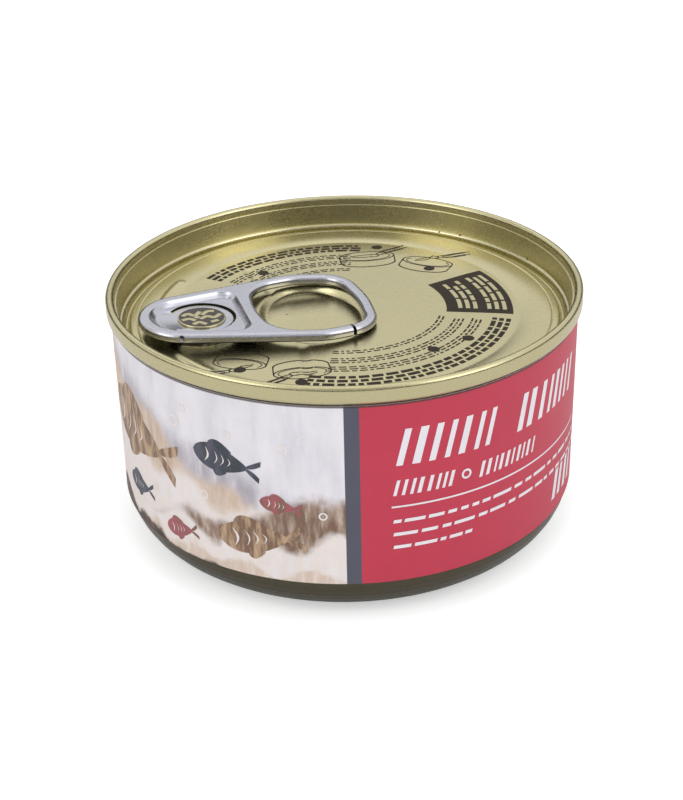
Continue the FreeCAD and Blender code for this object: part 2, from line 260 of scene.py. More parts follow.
def sideY(x, inset):
    lean = taperAngle()
    return (tab["noseRadius"] - inset) / math.cos(lean) + (x - tab["noseMiddle"]) * math.tan(lean)


def mirrored(half):
    return [(x, -y, r) for x, y, r in half] + [(x, y, r) for x, y, r in reversed(half) if y > tiny]


def evenLoop(corners, count):
    # evenly spaced points and outward normals round a closed outline
    dense = roundedPath(corners, True, 40)
    loop = [p for i, p in enumerate(dense) if (p - dense[i - 1]).length > 1e-5]
    total = sum((loop[i] - loop[i - 1]).length for i in range(len(loop)))
    points = []
    want, gone = 0.0, 0.0
    for i in range(len(loop)):
        a, b = loop[i - 1], loop[i]
        length = (b - a).length
        while want < gone + length and len(points) < count:
            points.append(a + (b - a) * ((want - gone) / length))
            want += total / count
        gone += length
    normals = []
    for i in range(count):
        along = points[(i + 1) % count] - points[i - 1]
        normals.append(Vector((along.y, -along.x)).normalized())
    return points, normals


def offsetCorners(corners, distance):
    moved = []
    count = len(corners)
    for i, (x, y, radius) in enumerate(corners):
        here = Vector((x, y))
        before = (here - Vector(corners[i - 1][:2])).normalized()
        after = (Vector(corners[(i + 1) % count][:2]) - here).normalized()
        bisector = Vector((-before.y - after.y, before.x + after.x)).normalized()
        shift = bisector * (distance / bisector.dot(Vector((-before.y, before.x))))
        moved.append((x + shift.x, y + shift.y, max(radius - distance, 0.05)))
    return moved


def ringCorners():
    # the upper half of the tab's outline past the nose
    return [
        (tab["shoulderX"], tab["shoulderHalf"], tab["shoulderRound"]),
        (tab["endX"] - tab["endBow"], tab["endHalf"], tab["endRound"]),
        (tab["endX"], 0, tab["endBowRound"]),
    ]


def outerCorners():
    return mirrored([(tab["noseX"], sideY(tab["noseX"], 0), tab["noseRadius"])] + ringCorners())


def holeCorners():
    start = tab["holeX"] - tab["ringBar"]
    bow = start + tab["holeBow"]
    ring = [(start, 0, tab["endBowRound"]), (bow, sideY(bow, 0), tab["holeRound"] + tab["ringBar"])]
    return offsetCorners(mirrored(ring + ringCorners()), tab["ringBar"])


def panCorners(inset):
    finish = tab["panEndX"] - (inset - tab["panRim"])
    return mirrored([
        (tab["noseX"] + inset, sideY(tab["noseX"] + inset, inset), tab["noseRadius"] - inset),
        (finish, sideY(finish, inset), tab["panEndRound"] - (inset - tab["panRim"])),
    ])


def rolledEdge():
    # (inset, z) from the underside round the edge to the top; insets point into the metal
    r = (tab["thickness"] - tab["hemFlat"]) / 2
    top = tab["top"]
    steps = tab["hemSteps"]
    low = [(r * (1 - math.sin(a)), -top + r * (1 - math.cos(a)))
           for a in (math.pi / 2 * k / steps for k in range(steps + 1))]
    high = [(x, -z) for x, z in reversed(low)]
    lap = tab["skinLap"]
    return [(r + lap, -top)] + low + high + [(r + lap, top)]


def skin(verts, faces, points, normals, profile, sign, notch=None):
    # strip of loops set in from an outline by profile (inset, z); returns the first and last loop
    count = len(points)
    loops = []
    for inset, z in profile:
        loops.append([len(verts) + k for k in range(count)])
        for p, n in zip(points, normals):
            q = p - n * (inset + (notch(p, z) if notch else 0)) * sign
            verts.append((q.x, q.y, z))
    for a, b in zip(loops, loops[1:]):
        for k in range(count):
            m = (k + 1) % count
            faces.append((a[k], a[m], b[m], b[k]) if sign > 0 else (a[m], a[k], b[k], b[m]))
    return loops[0], loops[-1]


def hemNotch(points):
    # the butt gap where the rolled edge's ends meet, and a small dimple in the front roll
    front = [p for p in points if p.y < 0]
    gap = min(front, key=lambda p: abs(p.x - tab["hemGapX"]))
    dimple = min(front, key=lambda p: abs(p.x - tab["dimpleX"]))

    def depth(p, z):
        beside = smooth(tab["hemGap"] * 0.42, tab["hemGap"] * 0.62, (p - gap).length)
        away = math.hypot((p - dimple).length, z - tab["dimpleZ"])
        dent = 1 - smooth(tab["dimpleFlat"], tab["dimpleRadius"], away)
        return tab["hemGapDepth"] * (1 - beside) + tab["dimpleDepth"] * dent
    return depth


def fillFlat(mesh, loops):
    edges = []
    for loop in loops:
        for k in range(len(loop)):
            a, b = mesh.verts[loop[k - 1]], mesh.verts[loop[k]]
            edges.append(mesh.edges.get((a, b)) or mesh.edges.new((a, b)))
    bmesh.ops.triangle_fill(mesh, use_beauty=True, edges=edges)


def panEdge():
    # (inset, z) down the pan's slope, from its lip to its floor
    top, floor, lip, slope = tab["top"], tab["panFloor"], tab["panLip"], tab["panSlope"]
    return [(-tab["skinLap"], top), (0, top), (lip * 0.35, top - lip * 0.12), (lip * 0.8, top - lip * 0.5),
            (lip, top - lip), (slope - lip, floor + lip * 0.8), (slope - lip * 0.4, floor + lip * 0.2),
            (slope, floor), (slope + tab["skinLap"], floor)]


def slotOutline():
    # the round slot that frees the tongue, open at the root towards the nose
    root = math.radians(tab["tongueRoot"] / 2)
    sweep = 2 * math.pi - 2 * root
    steps = tab["slotSteps"]
    angles = [-math.pi + root + sweep * k / steps for k in range(steps + 1)]
    outer = tab["tongueRadius"] + tab["slotWidth"]
    return [polar(outer, a) for a in angles] + [polar(tab["tongueRadius"], a) for a in reversed(angles)]


def addRing(verts, ring, z):
    # a ring of points at one height; returns their numbers
    start = len(verts)
    verts += [(x, y, z) for x, y in ring]
    return list(range(start, len(verts)))


def lowerTongue(mesh):
    # the tongue sits lower than the pan and ramps up to it at its root
    top = tab["top"]
    for v in mesh.verts:
        away = math.hypot(v.co.x, v.co.y)
        if away <= tab["tongueRadius"] + tiny and -top + tab["sheet"] < v.co.z < top - tiny:
            v.co.z -= tab["tongueDrop"]


def markPaintedShade(mesh, points, edge, notch):
    # painted shade: the underside and the walls of the notch, the dimple and the slot take the near-black
    # material, which stands in for the shade under and inside the tab
    count = len(points)
    inner, outer = tab["tongueRadius"] - 0.05, tab["tongueRadius"] + tab["slotWidth"] + 0.05
    for i, face in enumerate(mesh.faces):
        here = face.calc_center_median().xy.length
        inSlot = inner < here < outer and abs(face.normal.z) < 0.4
        inNotch = i < count * (len(edge) - 1) and notch(points[i % count], edge[i // count][1]) > 0.05
        face.material_index = int(face.normal.z < -0.45 or inSlot or inNotch)


def buildTab(material, paintedShadeMaterial):
    verts, faces = [], []
    top, floor, under = tab["top"], tab["panFloor"], tab["panFloor"] - tab["sheet"]
    outer = evenLoop(outerCorners(), tab["outerPoints"])
    hole = evenLoop(holeCorners(), tab["holePoints"])
    pan = evenLoop(panCorners(tab["panRim"]), tab["panPoints"])
    edge, notch = rolledEdge(), hemNotch(outer[0])
    outerLow, outerHigh = skin(verts, faces, *outer, edge, 1, notch)
    holeLow, holeHigh = skin(verts, faces, *hole, edge, -1)
    panHigh, panFloor = skin(verts, faces, *pan, panEdge(), 1)
    panLow, panUnder = skin(verts, faces, *pan, [(0, -top), (0, under)], 1)
    ring = slotOutline()
    slotTop, slotLow = addRing(verts, ring, floor), addRing(verts, ring, under)
    for k in range(len(ring)):
        m = (k + 1) % len(ring)
        faces.append((slotTop[k], slotTop[m], slotLow[m], slotLow[k]))
    mesh = bmesh.new()
    for v in verts:
        mesh.verts.new(v)
    mesh.verts.ensure_lookup_table()
    for f in faces:
        mesh.faces.new([mesh.verts[i] for i in f])
    for loops in ((outerHigh, holeHigh, panHigh), (outerLow, holeLow, panLow),
                  (panFloor, slotTop), (panUnder, slotLow)):
        fillFlat(mesh, loops)
    lowerTongue(mesh)
    bmesh.ops.recalc_face_normals(mesh, faces=mesh.faces)
    markPaintedShade(mesh, outer[0], edge, notch)
    for v in mesh.verts:
        v.co = Vector(tabToWorld(*v.co)) * mm
    data = bpy.data.meshes.new("pullTab")
    mesh.to_mesh(data)
    mesh.free()
    data.shade_smooth()
    data.set_sharp_from_angle(angle=math.radians(tab["sharpAngle"]))
    piece = bpy.data.objects.new("pullTab", data)
    bpy.context.collection.objects.link(piece)
    data.materials.append(material)
    data.materials.append(paintedShadeMaterial)
    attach(piece, "root")
    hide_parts("pull_tab")


def buildRivet(material):
    r, h, edge = tab["headRadius"], tab["headHeight"], tab["headRound"]
    shank, z = tab["shankRadius"], tab["tongueTop"]
    foot = z - tab["shankLength"]
    profile = [(0, z + h, 0), (r, z + h, edge), (r, z, edge / 2),
               (shank, z, 0), (shank, foot, 0), (0, foot, 0)]
    rings = [(p.x, p.y) for p in roundedPath(profile, False, 6)]
    verts, faces = revolved(rings, tab["headSides"])
    rivet = addMesh("rivetHead", [tabToWorld(*v) for v in verts], faces, material)
    rivet.data.set_sharp_from_angle(angle=math.radians(tab["sharpAngle"]))
    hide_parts("lid")


# Relief pressed into the panel, in the tab's direction. Angles are from the tab's line.
relief = dict(
    dishInner=20.3, dishHeel=0.5, dishDepth=0.11, dishLip=0.3,
    dishHalfAngle=119.5, dishEndIn=1.5, dishEndOut=5.0,
    crownInner=25.3, crownTop=27.9, crownFlat=0.3, crownHeight=0.16,
    wellAlong=8.0, wellAcross=10.4, wellSlope=1.3, wellDepth=0.95, wellShift=1.05,
    creaseHalf=0.87, creaseDepth=0.14, creaseAlong=0.5, creaseAcross=0.8,
    beadInset=3.2, beadHalf=0.8, beadHeight=0.28, beadTurn=-3.9, beadStart=20.0, beadSpan=14.3,
    bossTop=4.3, bossBase=5.6, bossGap=0.01,
)


def panelFrame(x, y):
    # position on the panel along and across the tab's line
    turn = math.radians(tab["turn"])
    return (x * math.cos(turn) + y * math.sin(turn), y * math.cos(turn) - x * math.sin(turn))


def dishHeight(u, v):
    # a low lip at the dish's inner edge, then a floor that falls outwards to the foot of the ridge
    radius = math.hypot(u, v)
    angle = abs(math.degrees(math.atan2(v, u)))
    heel = relief["dishInner"] + relief["dishHeel"]
    lip = -relief["dishLip"] * clamped((radius - relief["dishInner"]) / relief["dishHeel"])
    floor = (1 + relief["dishLip"]) * clamped((radius - heel) / (relief["crownInner"] - heel))
    rise = clamped((radius - relief["crownInner"]) / (relief["crownTop"] - relief["crownInner"]))
    ends = 1 - smooth(relief["dishHalfAngle"] - relief["dishEndIn"],
                      relief["dishHalfAngle"] + relief["dishEndOut"], angle)
    return -relief["dishDepth"] * (lip + floor) * (1 - rise * (2 - rise)) * ends


def wellHeight(u, v):
    du = (u - tab["rivetX"] - tab["holeMiddle"] - relief["wellShift"]) / relief["wellAlong"]
    dv = v / relief["wellAcross"]
    reach = math.hypot(du, dv)
    if reach < tiny:
        return -relief["wellDepth"]
    edge = (1 - reach) * math.hypot(du * relief["wellAlong"], dv * relief["wellAcross"]) / reach
    return -relief["wellDepth"] * smooth(0, relief["wellSlope"], edge)


def creaseHeight(u, v):
    last = math.radians(relief["dishHalfAngle"])
    heel = relief["dishInner"] + relief["dishHeel"]
    start = Vector(polar(heel, last))
    middle = tab["rivetX"] + tab["holeMiddle"] + relief["wellShift"]
    finish = Vector((middle - relief["wellAlong"] * relief["creaseAlong"],
                     relief["wellAcross"] * relief["creaseAcross"]))
    run = finish - start
    here = Vector((u, abs(v))) - start
    share = clamped(here.dot(run) / run.length_squared)
    away = (here - run * share).length / relief["creaseHalf"]
    return -relief["creaseDepth"] * max(1 - away * away, 0)


def noseBeadHeight(u, v):
    path = end["scoreRadius"] - relief["beadInset"]
    turned = math.degrees(math.atan2(v, u)) % 360 - 180 - relief["beadTurn"]
    first, span = relief["beadStart"], relief["beadSpan"]
    nearest = min(max(abs(turned), first), first + span)
    angle = math.radians(180 + relief["beadTurn"] + math.copysign(nearest, turned))
    x, y = polar(path, angle)
    away = math.hypot(u - x, v - y) / relief["beadHalf"]
    return relief["beadHeight"] * max(1 - away * away, 0)


def bossHeight(u, v):
    away = math.hypot(u - tab["rivetX"], v)
    tilt = math.tan(math.radians(tab["tilt"]))
    under = tab["z"] + tab["tongueTop"] - tab["sheet"] - (u - tab["rivetX"]) * tilt - end["panelZ"]
    share = (relief["bossBase"] - away) / (relief["bossBase"] - relief["bossTop"])
    return (under - relief["bossGap"]) * smooth(0, 1, share)


def crownHeight(radius):
    # the low ridge round the panel, between the dish and the panel's shoulder
    rise = clamped((radius - relief["crownInner"]) / (relief["crownTop"] - relief["crownInner"]))
    shoulder = end["panelRadius"]
    fall = clamped((shoulder - radius) / (shoulder - relief["crownTop"] - relief["crownFlat"]))
    return relief["crownHeight"] * min(rise * (2 - rise), fall * (2 - fall))


def reliefHeight(x, y):
    u, v = panelFrame(x, y)
    radius = math.hypot(u, v)
    crown = crownHeight(radius)
    if radius > end["scoreRadius"] - end["scoreFlat"]:
        return crown
    low = min(dishHeight(u, v), wellHeight(u, v), creaseHeight(u, v))
    return crown + low + noseBeadHeight(u, v) + bossHeight(u, v)


# The drawn body.
body = dict(
    footRadius=25.6, footWidth=1.2, footDrop=0.35, footStep=0.7, footRound=0.4, stepRound=0.3,
    cornerRadius=7.0,
    baseRise=1.5, baseSlope=0.75, baseRound=0.7, beadRadius=17.0, beadWidth=3.0, beadDepth=0.5,
    beadFoot=0.6, beadTop=0.5, wall=0.25, wallGap=0.05, fillGap=0.6, segments=256,
)


def buildBody(material):
    beadIn = body["beadRadius"] - body["beadWidth"] / 2
    beadOut = body["beadRadius"] + body["beadWidth"] / 2
    footIn = body["footRadius"] - body["footWidth"] / 2
    footOut = body["footRadius"] + body["footWidth"] / 2
    rise, bead, foot = body["baseRise"], body["beadDepth"], body["footRound"]
    beadFoot, beadTop = body["beadFoot"], body["beadTop"]
    wallTop = rimZ - end["tuck"] - body["wallGap"]
    seat = rimZ - end["sinkDepth"] - end["sheet"] - body["fillGap"]
    profile = [
        (0, rise, 0), (beadIn, rise, beadFoot), (beadIn + bead, rise + bead, beadTop),
        (beadOut - bead, rise + bead, beadTop), (beadOut, rise, beadFoot),
        (footIn - body["baseSlope"], rise, body["baseRound"]), (footIn, 0, foot), (footOut, 0, foot),
        (footOut + body["footStep"], body["footDrop"], body["stepRound"]),
        (bodyRadius, body["footDrop"], body["cornerRadius"]), (bodyRadius, wallTop, 0),
        (bodyRadius - body["wall"], wallTop, 0), (end["ledgeRadius"], seat, 0), (0, seat, 0),
    ]
    rings = [(p.x, p.y) for p in firmRuns(roundedPath(profile, False, 10))]
    shell = addMesh("canWall", *revolved(rings, body["segments"]), material)
    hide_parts("can_body")


# The paper sleeve, with its lap at the back. Along is measured from the front's middle.
sleeve = dict(
    paper=0.15, lapAngle=14.0, lapMiddle=90.0, lapSettle=1.5, plainColumns=20, columns=400, rows=24,
    stripeLeft=-0.45, stripeRight=1.55, paintedShadowLow=0.34, paintedShadowHigh=0.16, paintedShadowShare=0.85,
    liftAngle=-143.0, liftSpan=22.0, liftHeight=4.0, lift=0.16,
    ripple=0.035, rippleTurns=3.2, rippleRise=0.07, gap=0.005, sharpAngle=40,
)
paperRadius = bodyRadius + sleeve["gap"]


def alongToAngle(along):
    # millimetres along the front of the sleeve, from its middle, as an angle in degrees
    return -90 + math.degrees(along / (bodyRadius + sleeve["paper"]))


def sleeveStand(angle, z):
    # how far the sheet stands off the wall: a lifted lower corner and faint ripples
    turned = (angle - sleeve["liftAngle"] + 180) % 360 - 180
    loose = math.exp(-(turned / sleeve["liftSpan"]) ** 2)
    loose *= smooth(sleeve["liftHeight"], 0, z - sleeveBottom)
    a = math.radians(angle)
    wave = noise.noise(Vector((*polar(sleeve["rippleTurns"], a), z * sleeve["rippleRise"])))
    return sleeve["lift"] * loose + sleeve["ripple"] * max(wave, 0)


def sleevePoint(along, z, lift):
    # a place on the printed face of the sleeve
    angle = alongToAngle(along)
    radius = paperRadius + sleeve["paper"] + sleeveStand(angle, z) + lift
    a = math.radians(angle)
    return (*polar(radius, a), z)


def sleeveGrid():
    # points of the inner and the outer face, column by column, and their places on the flat sheet
    verts, spots = [], []
    count, rows, lap = sleeve["columns"], sleeve["rows"], sleeve["lapAngle"]
    start = sleeve["lapMiddle"] + lap / 2
    height = sleeveTop - sleeveBottom
    for side in (0, 1):
        for k in range(count + 1):
            angle = start - (360 + lap) * k / count
            # the end that starts on top comes down once the under end is passed
            over = 1 - smooth(lap, lap + sleeve["lapSettle"], start - angle)
            for row in range(rows + 1):
                z = sleeveBottom + height * row / rows
                radius = paperRadius + sleeve["paper"] * (side + over)
                if k < count - sleeve["plainColumns"]:
                    radius += sleeveStand(angle, z)
                verts.append((*polar(radius, math.radians(angle)), z))
                spots.append((math.radians((angle + 270) % 360 - 180) * (bodyRadius + sleeve["paper"]), z))
    return verts, spots


def addSleeveMap(mesh, spots):
    layer = mesh.uv_layers.new(name="sleeveMap")
    for polygon in mesh.polygons:
        middle = sum(spots[v][0] for v in polygon.vertices) / len(polygon.vertices)
        for loop in polygon.loop_indices:
            along, z = spots[mesh.loops[loop].vertex_index]
            if abs(along - middle) > 50:  # the corner lies across the map's own seam
                along += math.copysign(2 * math.pi * (bodyRadius + sleeve["paper"]), middle)
            layer.data[loop].uv = (along, z)


def buildSleeve(material, edgeMaterial):
    verts, spots = sleeveGrid()
    faces = []
    count, rows = sleeve["columns"], sleeve["rows"]
    stride = rows + 1
    layer = (count + 1) * stride
    for k in range(count):
        for row in range(rows):
            a = k * stride + row
            b = a + stride
            faces.append((a, b, b + 1, a + 1))
            faces.append((layer + a, layer + a + 1, layer + b + 1, layer + b))
    printed = len(faces)
    # the four cut edges of the sheet
    for k in range(count):
        for row in (0, rows):
            a = k * stride + row
            b = a + stride
            quad = (a, layer + a, layer + b, b)
            faces.append(quad if row == 0 else quad[::-1])
    for k in (0, count):
        for row in range(rows):
            a = k * stride + row
            quad = (a, a + 1, layer + a + 1, layer + a)
            faces.append(quad if k == 0 else quad[::-1])
    piece = addMesh("paperSleeve", verts, faces, material)
    mesh = piece.data
    mesh.materials.append(edgeMaterial)
    for polygon in mesh.polygons[printed:]:
        polygon.material_index = 1
    addSleeveMap(mesh, spots)
    mesh.set_sharp_from_angle(angle=math.radians(sleeve["sharpAngle"]))
    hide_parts("label")


def newGroup(name, inputs, outputs):
    # inputs are (label, socket kind, value), outputs are (label, socket kind)
    group = bpy.data.node_groups.new(name, "ShaderNodeTree")
    for label, kind, value in inputs:
        socket = group.interface.new_socket(label, in_out="INPUT", socket_type="NodeSocket" + kind)
        socket.default_value = value
    for label, kind in outputs:
        group.interface.new_socket(label, in_out="OUTPUT", socket_type="NodeSocket" + kind)
    return group, group.nodes.new("NodeGroupInput"), group.nodes.new("NodeGroupOutput")


def wire(tree, value, socket):
    # links an output, or writes a plain number or colour
    if isinstance(value, (int, float)):
        socket.default_value = value
    elif isinstance(value, tuple):
        socket.default_value = (*value, 1)
    else:
        tree.links.new(value, socket)


def mathNode(tree, operation, *values, clamp=False):
    node = tree.nodes.new("ShaderNodeMath")
    node.operation = operation
    node.use_clamp = clamp
    for slot, value in enumerate(values):
        wire(tree, value, node.inputs[slot])
    return node.outputs[0]


def rampNode(tree, value, low, high):
    node = tree.nodes.new("ShaderNodeMapRange")
    node.interpolation_type = "SMOOTHSTEP"
    for label, source in (("Value", value), ("From Min", low), ("From Max", high)):
        wire(tree, source, node.inputs[label])
    return node.outputs[0]


def mixColor(tree, share, a, b, blend="MIX"):
    node = tree.nodes.new("ShaderNodeMix")
    node.data_type = "RGBA"
    node.blend_type = blend
    for slot, value in ((0, share), (6, a), (7, b)):
        wire(tree, value, node.inputs[slot])
    return node.outputs[2]


def shadedColor(tree, color, shade):
    grey = tree.nodes.new("ShaderNodeCombineColor")
    for k in range(3):
        wire(tree, shade, grey.inputs[k])
    return mixColor(tree, 1.0, color, grey.outputs[0], "MULTIPLY")


def placeNode(tree, stretch=(1, 1, 1), turn=0.0):
    # object position in millimetres, stretched along the axes
    place = tree.nodes.new("ShaderNodeTexCoord")
    mapping = tree.nodes.new("ShaderNodeMapping")
    mapping.inputs["Scale"].default_value = [1000 * k for k in stretch]
    mapping.inputs["Rotation"].default_value = (0, 0, math.radians(turn))
    wire(tree, place.outputs["Object"], mapping.inputs["Vector"])
    return mapping.outputs[0]


def sleeveMap(tree):
    sheet = tree.nodes.new("ShaderNodeUVMap")
    sheet.uv_map = "sleeveMap"
    return sheet.outputs[0]


def noiseNode(tree, place, scale, detail=2.0, rough=0.5):
    node = tree.nodes.new("ShaderNodeTexNoise")
    for label, value in (("Detail", detail), ("Roughness", rough), ("Scale", scale), ("Vector", place)):
        wire(tree, value, node.inputs[label])
    return node.outputs["Fac"]


def centred(tree, value, amount):
    # a 0 to 1 noise swung about zero
    return mathNode(tree, "MULTIPLY", mathNode(tree, "SUBTRACT", value, 0.5), amount)


def sheetGrainGroup():
    # rolled sheet: fine grain along one line, soft clouding, a few hairline scratches
    group, given, out = newGroup("sheetGrain", [
        ("Grain", "Float", 1.0), ("Cloud", "Float", 1.0), ("Scratches", "Float", 1.0),
        ("Roughness", "Float", 0.3),
    ], [("Roughness", "Float"), ("Height", "Float"), ("Shade", "Float")])
    grain = noiseNode(group, placeNode(group, (0.6, 5, 5), 15), 1.6, 3)
    cloud = noiseNode(group, placeNode(group), 0.16, 4, 0.6)
    lines = noiseNode(group, placeNode(group, (0.05, 6, 6), 38), 1.1, 1)
    crossLines = noiseNode(group, placeNode(group, (5, 0.06, 5), -22), 1.0, 1)
    scratch = mathNode(group, "MAXIMUM", rampNode(group, lines, 0.70, 0.74),
                       rampNode(group, crossLines, 0.72, 0.76))
    scratch = mathNode(group, "MULTIPLY", scratch, given.outputs["Scratches"])
    grainPart = centred(group, grain, given.outputs["Grain"])
    cloudPart = centred(group, cloud, given.outputs["Cloud"])
    rough = mathNode(group, "MULTIPLY_ADD", cloudPart, 0.35, given.outputs["Roughness"])
    rough = mathNode(group, "MULTIPLY_ADD", grainPart, 0.12, rough)
    rough = mathNode(group, "MULTIPLY_ADD", scratch, 0.15, rough, clamp=True)
    height = mathNode(group, "MULTIPLY_ADD", scratch, -0.6, grainPart)
    shade = mathNode(group, "MULTIPLY_ADD", cloudPart, 0.16, 1.0)
    shade = mathNode(group, "MULTIPLY_ADD", grainPart, 0.10, shade)
    for label, value in (("Roughness", rough), ("Height", height), ("Shade", shade)):
        wire(group, value, out.inputs[label])
    return group


def speckGroup():
    # scattered small spots, as dust and rust leave
    group, given, out = newGroup("specks", [
        ("Spacing", "Float", 4.0), ("Size", "Float", 0.12), ("Share", "Float", 0.2),
    ], [("Mask", "Float")])
    cells = group.nodes.new("ShaderNodeTexVoronoi")
    scale = mathNode(group, "DIVIDE", 1.0, given.outputs["Spacing"])
    wire(group, placeNode(group), cells.inputs["Vector"])
    wire(group, scale, cells.inputs["Scale"])
    reach = mathNode(group, "MULTIPLY", given.outputs["Size"], scale)
    spot = mathNode(group, "LESS_THAN", cells.outputs["Distance"], reach)
    pick = group.nodes.new("ShaderNodeSeparateColor")
    wire(group, cells.outputs["Color"], pick.inputs[0])
    chosen = mathNode(group, "LESS_THAN", pick.outputs[0], given.outputs["Share"])
    wire(group, mathNode(group, "MULTIPLY", spot, chosen), out.inputs["Mask"])
    return group


def paperTouchGroup():
    # printed paper: faint fibre, press mottling and lightly rubbed colour
    group, given, out = newGroup("printedPaper", [
        ("Color", "Color", (1, 1, 1, 1)), ("Mottle", "Float", 1.0),
    ], [("Color", "Color"), ("Height", "Float")])
    fibre = noiseNode(group, placeNode(group), 5.0, 3, 0.6)
    mottle = noiseNode(group, placeNode(group), 0.35, 4, 0.6)
    shade = mathNode(group, "MULTIPLY_ADD", centred(group, mottle, given.outputs["Mottle"]), 0.16, 1.0)
    shade = mathNode(group, "ADD", centred(group, fibre, 0.06), shade)
    wire(group, shadedColor(group, given.outputs["Color"], shade), out.inputs["Color"])
    wire(group, fibre, out.inputs["Height"])
    return group


def streaksGroup():
    # soft brush streaks between two colours, along one line of the sleeve's surface
    group, given, out = newGroup("brushStreaks", [
        ("First", "Color", (1, 1, 1, 1)), ("Second", "Color", (0.5, 0.5, 0.5, 1)),
        ("Scale", "Float", 0.5), ("Low", "Float", 0.4), ("High", "Float", 0.6),
    ], [("Color", "Color")])
    mapping = group.nodes.new("ShaderNodeMapping")
    mapping.inputs["Scale"].default_value = (1.0, 0.22, 1.0)
    mapping.inputs["Rotation"].default_value = (0, 0, math.radians(35))
    wire(group, sleeveMap(group), mapping.inputs["Vector"])
    streak = noiseNode(group, mapping.outputs[0], given.outputs["Scale"], 5, 0.62)
    share = rampNode(group, streak, given.outputs["Low"], given.outputs["High"])
    mixed = mixColor(group, share, given.outputs["First"], given.outputs["Second"])
    wire(group, mixed, out.inputs["Color"])
    return group


sheetGrain = sheetGrainGroup()
specks = speckGroup()
paperTouch = paperTouchGroup()
brushStreaks = streaksGroup()
print("shader groups ready")


def newMaterial(name, color, metallic, roughness):
    material = bpy.data.materials.new(name)
    material.use_nodes = True
    shader = material.node_tree.nodes["Principled BSDF"]
    shader.inputs["Base Color"].default_value = (*color, 1)
    shader.inputs["Metallic"].default_value = metallic
    shader.inputs["Roughness"].default_value = roughness
    return material


def shaderInput(material, label):
    return material.node_tree.nodes["Principled BSDF"].inputs[label]


def useGroup(material, group, **values):
    node = material.node_tree.nodes.new("ShaderNodeGroup")
    node.node_tree = group
    for label, value in values.items():
        wire(material.node_tree, value, node.inputs[label])
    return node


def addBump(material, height, distance, strength=1.0):
    tree = material.node_tree
    bump = tree.nodes.new("ShaderNodeBump")
    for label, value in (("Distance", distance * mm), ("Strength", strength), ("Height", height)):
        wire(tree, value, bump.inputs[label])
    wire(tree, bump.outputs[0], shaderInput(material, "Normal"))


def sheetMetal(name, color, roughness, grain, cloud, scratches, bump, spots=None):
    material = newMaterial(name, color, 1.0, roughness)
    tree = material.node_tree
    touch = useGroup(material, sheetGrain,
                     Grain=grain, Cloud=cloud, Scratches=scratches, Roughness=roughness)
    shaded = shadedColor(tree, color, touch.outputs["Shade"])
    if spots:
        spot = useGroup(material, specks, **spots["specks"])
        shaded = mixColor(tree, spot.outputs[0], shaded, spots["color"])
        wire(tree, mathNode(tree, "SUBTRACT", 1.0, spot.outputs[0]), shaderInput(material, "Metallic"))
    wire(tree, shaded, shaderInput(material, "Base Color"))
    wire(tree, touch.outputs["Roughness"], shaderInput(material, "Roughness"))
    addBump(material, touch.outputs["Height"], bump)
    return material


metals = dict(
    lid=dict(color=(0.565, 0.515, 0.305), roughness=0.27, grain=0.5, cloud=0.3, scratches=0.35, bump=0.002,
             spots=dict(color=(0.10, 0.06, 0.03), specks=dict(Spacing=9.0, Size=0.16, Share=0.12))),
    # painted shade: near-black metal for the tab's underside and inner walls, standing in for the shade
    # there
    under=dict(color=(0.12, 0.12, 0.13), roughness=0.35, grain=0.6, cloud=1.0, scratches=0.5, bump=0.003),
    # painted shade: dark metal for the disc round the rivet, standing in for the shade under the tab
    paintedShadeUnderTab=dict(color=(0.10, 0.09, 0.06), roughness=0.4, grain=0.6, cloud=1.0, scratches=0.3, bump=0.002),
    # partly painted shade: the body's own darker tone, set lower still so that the wall renders as dark as
    # the shaded floor it reflects
    wall=dict(color=(0.105, 0.092, 0.064), roughness=0.30, grain=0.6, cloud=1.0, scratches=0.4, bump=0.002),
    tab=dict(color=(0.53, 0.53, 0.59), roughness=0.24, grain=0.4, cloud=1.0, scratches=0.7, bump=0.004,
             spots=dict(color=(0.05, 0.05, 0.05), specks=dict(Spacing=5.0, Size=0.10, Share=0.10))),
)
inks = dict(
    dark=(0.030, 0.023, 0.016), pink=(0.52, 0.031, 0.068), slate=(0.080, 0.080, 0.116),
    white=(0.80, 0.78, 0.82), lilac=(0.80, 0.77, 0.82), cream=(0.80, 0.72, 0.68), sand=(0.66, 0.53, 0.44),
    tan=(0.50, 0.34, 0.21), brown=(0.19, 0.11, 0.07), deepBrown=(0.045, 0.024, 0.020),
    rose=(0.36, 0.09, 0.11), ink=(0.035, 0.045, 0.06), rust=(0.28, 0.09, 0.02), shade=(0.40, 0.37, 0.42),
    mist=(0.66, 0.64, 0.70),
)


def paperFinish(material, color):
    touch = useGroup(material, paperTouch, Color=color, Mottle=1.0)
    wire(material.node_tree, touch.outputs["Color"], shaderInput(material, "Base Color"))
    addBump(material, touch.outputs["Height"], 0.006, 0.5)
    return material


def streaked(material, a, b, scale, low, high):
    return useGroup(material, brushStreaks, First=inks[a], Second=inks[b],
                    Scale=scale, Low=low, High=high).outputs[0]


def inkMaterial(name, ink, roughness=0.45, shine=0.5, streaks=None):
    # streaks is a second ink with the scale and the ends of the ramp
    material = newMaterial(name, inks[ink], 0.0, roughness)
    shaderInput(material, "Specular IOR Level").default_value = shine
    return paperFinish(material, streaked(material, ink, *streaks) if streaks else inks[ink])


